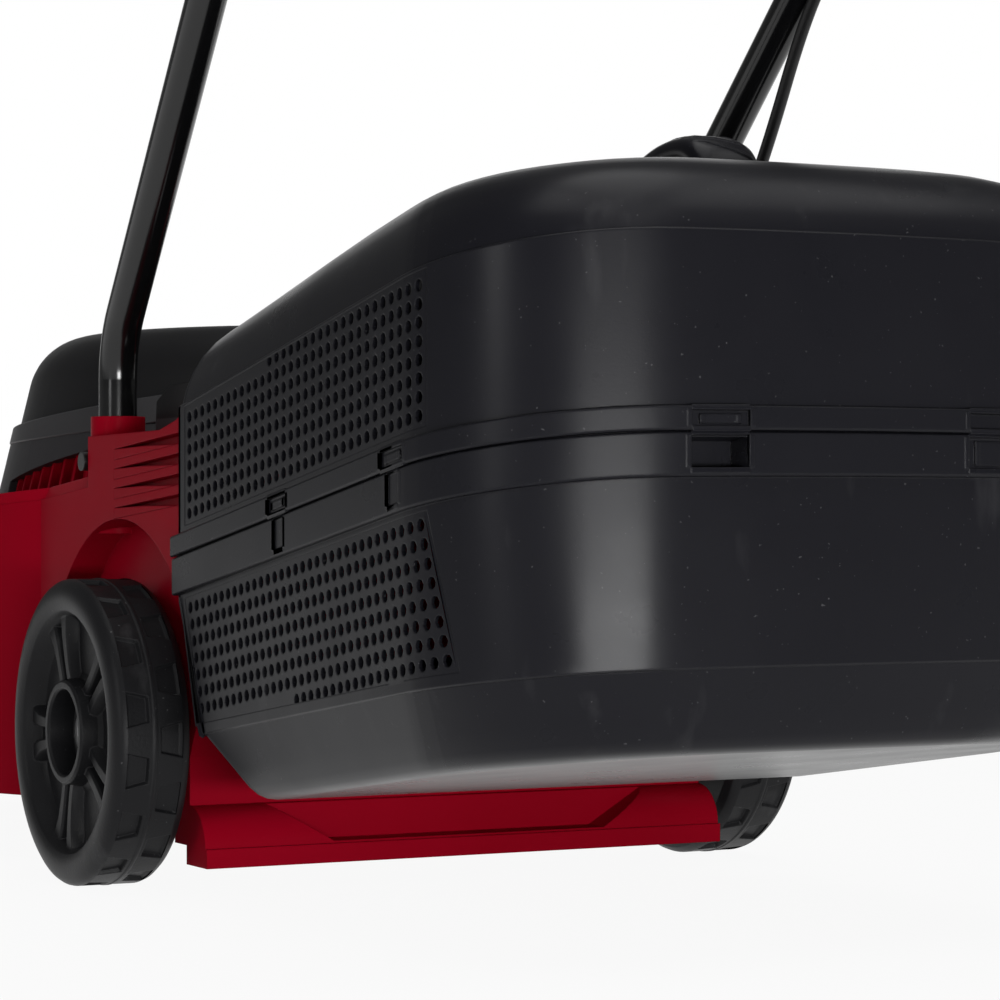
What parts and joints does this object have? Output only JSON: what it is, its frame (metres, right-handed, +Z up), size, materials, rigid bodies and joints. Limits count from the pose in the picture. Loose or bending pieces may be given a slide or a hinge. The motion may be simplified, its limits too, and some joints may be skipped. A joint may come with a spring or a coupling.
{
  "type": "corded rotary lawn mower",
  "caption": "Corded electric rotary lawn mower: moulded deck with motor hood, rear grass box with side grilles, wheels on sliding axles and a folding tubular handle.",
  "frame": {"origin": "on the ground under the middle of the rear axle", "axes": "+X to the mower's right, +Y forward, +Z up"},
  "size_m": [0.3556, 1.1417, 1.0003],
  "materials": {
    "red_plastic": "satin moulded",
    "hood_plastic": "fine grained",
    "box_plastic": "fine grained",
    "wheel_plastic": "scuffed moulded",
    "painted_tube": "gloss black",
    "black_plastic": "moulded",
    "button_plastic": "moulded",
    "steel": "zinc plated",
    "iron": "plain",
    "copper": "turned",
    "cable_rubber": "smooth sheath"
  },
  "bodies": {
    "chassis": {"deck": "red_plastic", "motor_hood": "hood_plastic", "hood_screws": "steel", "cable_gland": "hood_plastic", "motor_frame": "steel", "lower_bearing": "steel", "upper_bearing": "steel", "motor_top_bracket": "steel", "stator": "iron", "brush_holders": "black_plastic", "flap_hinge_rod": "steel", "lower_handle_left": "painted_tube", "lower_handle_right": "painted_tube", "handle_screws": "steel", "pivot_bolts": "steel", "motor_cable_lower": "cable_rubber", "motor_cable_fold": "cable_rubber", "cable_clips_lower": "black_plastic"},
    "rotor": {"motor_shaft": "steel", "rotor_core": "iron", "commutator": "copper", "cooling_fan": "black_plastic", "blade_hub": "iron", "blade": "iron", "blade_bolt": "steel"},
    "front_axle_set": {"front_axle": "steel", "front_axle_caps": "steel", "front_axle_spacers": "wheel_plastic"},
    "rear_axle_set": {"rear_axle": "steel", "rear_axle_caps": "steel", "rear_axle_spacers": "wheel_plastic"},
    "front_left_wheel": {"front_wheel_left": "wheel_plastic"},
    "front_right_wheel": {"front_wheel_right": "wheel_plastic"},
    "rear_left_wheel": {"rear_wheel_left": "wheel_plastic"},
    "rear_right_wheel": {"rear_wheel_right": "wheel_plastic"},
    "flap": {"rear_flap": "hood_plastic"},
    "grass_box": {"box_upper": "box_plastic", "box_lower": "box_plastic", "box_handle": "box_plastic", "box_grille_upper_left": "box_plastic", "box_grille_upper_right": "box_plastic", "box_grille_lower_left": "box_plastic", "box_grille_lower_right": "box_plastic"},
    "folding_handle": {"upper_handle": "painted_tube", "switch_base": "black_plastic", "switch_cover": "black_plastic", "micro_switch": "black_plastic", "mains_inlet": "black_plastic", "motor_cable_upper": "cable_rubber", "cable_clips_upper": "black_plastic", "bail_bracket": "black_plastic"},
    "bail": {"switch_bail": "painted_tube"},
    "button": {"lock_button": "button_plastic"},
    "left_knob": {"knob_left": "black_plastic"},
    "right_knob": {"knob_right": "black_plastic"}
  },
  "joints": [
    {"name": "blade_spin", "type": "hinge", "parent": "chassis", "child": "rotor", "pos_m": [0, 0.195, 0.042], "axis": [0, 0, 1], "continuous": true},
    {"name": "front_axle_height", "type": "slide", "parent": "chassis", "child": "front_axle_set", "axis": [0, 0, -1], "range_m": [0, 0.032]},
    {"name": "rear_axle_height", "type": "slide", "parent": "chassis", "child": "rear_axle_set", "axis": [0, 0, -1], "range_m": [0, 0.032]},
    {"name": "front_left_wheel_spin", "type": "hinge", "parent": "front_axle_set", "child": "front_left_wheel", "pos_m": [-0.15955, 0.38, 0.07], "axis": [1, 0, 0], "continuous": true},
    {"name": "front_right_wheel_spin", "type": "hinge", "parent": "front_axle_set", "child": "front_right_wheel", "pos_m": [0.15955, 0.38, 0.07], "axis": [1, 0, 0], "continuous": true},
    {"name": "rear_left_wheel_spin", "type": "hinge", "parent": "rear_axle_set", "child": "rear_left_wheel", "pos_m": [-0.15955, 0, 0.07], "axis": [1, 0, 0], "continuous": true},
    {"name": "rear_right_wheel_spin", "type": "hinge", "parent": "rear_axle_set", "child": "rear_right_wheel", "pos_m": [0.15955, 0, 0.07], "axis": [1, 0, 0], "continuous": true},
    {"name": "flap_hinge", "type": "hinge", "parent": "chassis", "child": "flap", "pos_m": [0, 0.022, 0.197], "axis": [-1, 0, 0], "range_deg": [0, 55]},
    {"name": "box_lift_off", "type": "slide", "parent": "chassis", "child": "grass_box", "axis": [0, -0.9848, 0.1736], "range_m": [0, 0.35]},
    {"name": "handle_fold", "type": "hinge", "parent": "chassis", "child": "folding_handle", "pos_m": [0, -0.2348, 0.545], "axis": [-1, 0, 0], "range_deg": [0, 150], "deforming": ["motor_cable_fold"]},
    {"name": "left_knob_turn", "type": "hinge", "parent": "chassis", "child": "left_knob", "pos_m": [-0.169, -0.2348, 0.545], "axis": [-1, 0, 0], "continuous": true},
    {"name": "right_knob_turn", "type": "hinge", "parent": "chassis", "child": "right_knob", "pos_m": [0.169, -0.2348, 0.545], "axis": [1, 0, 0], "continuous": true},
    {"name": "bail_squeeze", "type": "hinge", "parent": "folding_handle", "child": "bail", "pos_m": [-0.028, -0.58586, 0.90131], "axis": [-1, 0, 0], "range_deg": [0, 18], "stiffness_Nm_per_rad": 2, "springref_deg": -6.88},
    {"name": "lock_press", "type": "slide", "parent": "folding_handle", "child": "button", "axis": [0, -0.7317, -0.6816], "range_m": [0, 0.004], "stiffness_N_per_m": 400, "springref_m": -0.002}
  ]
}
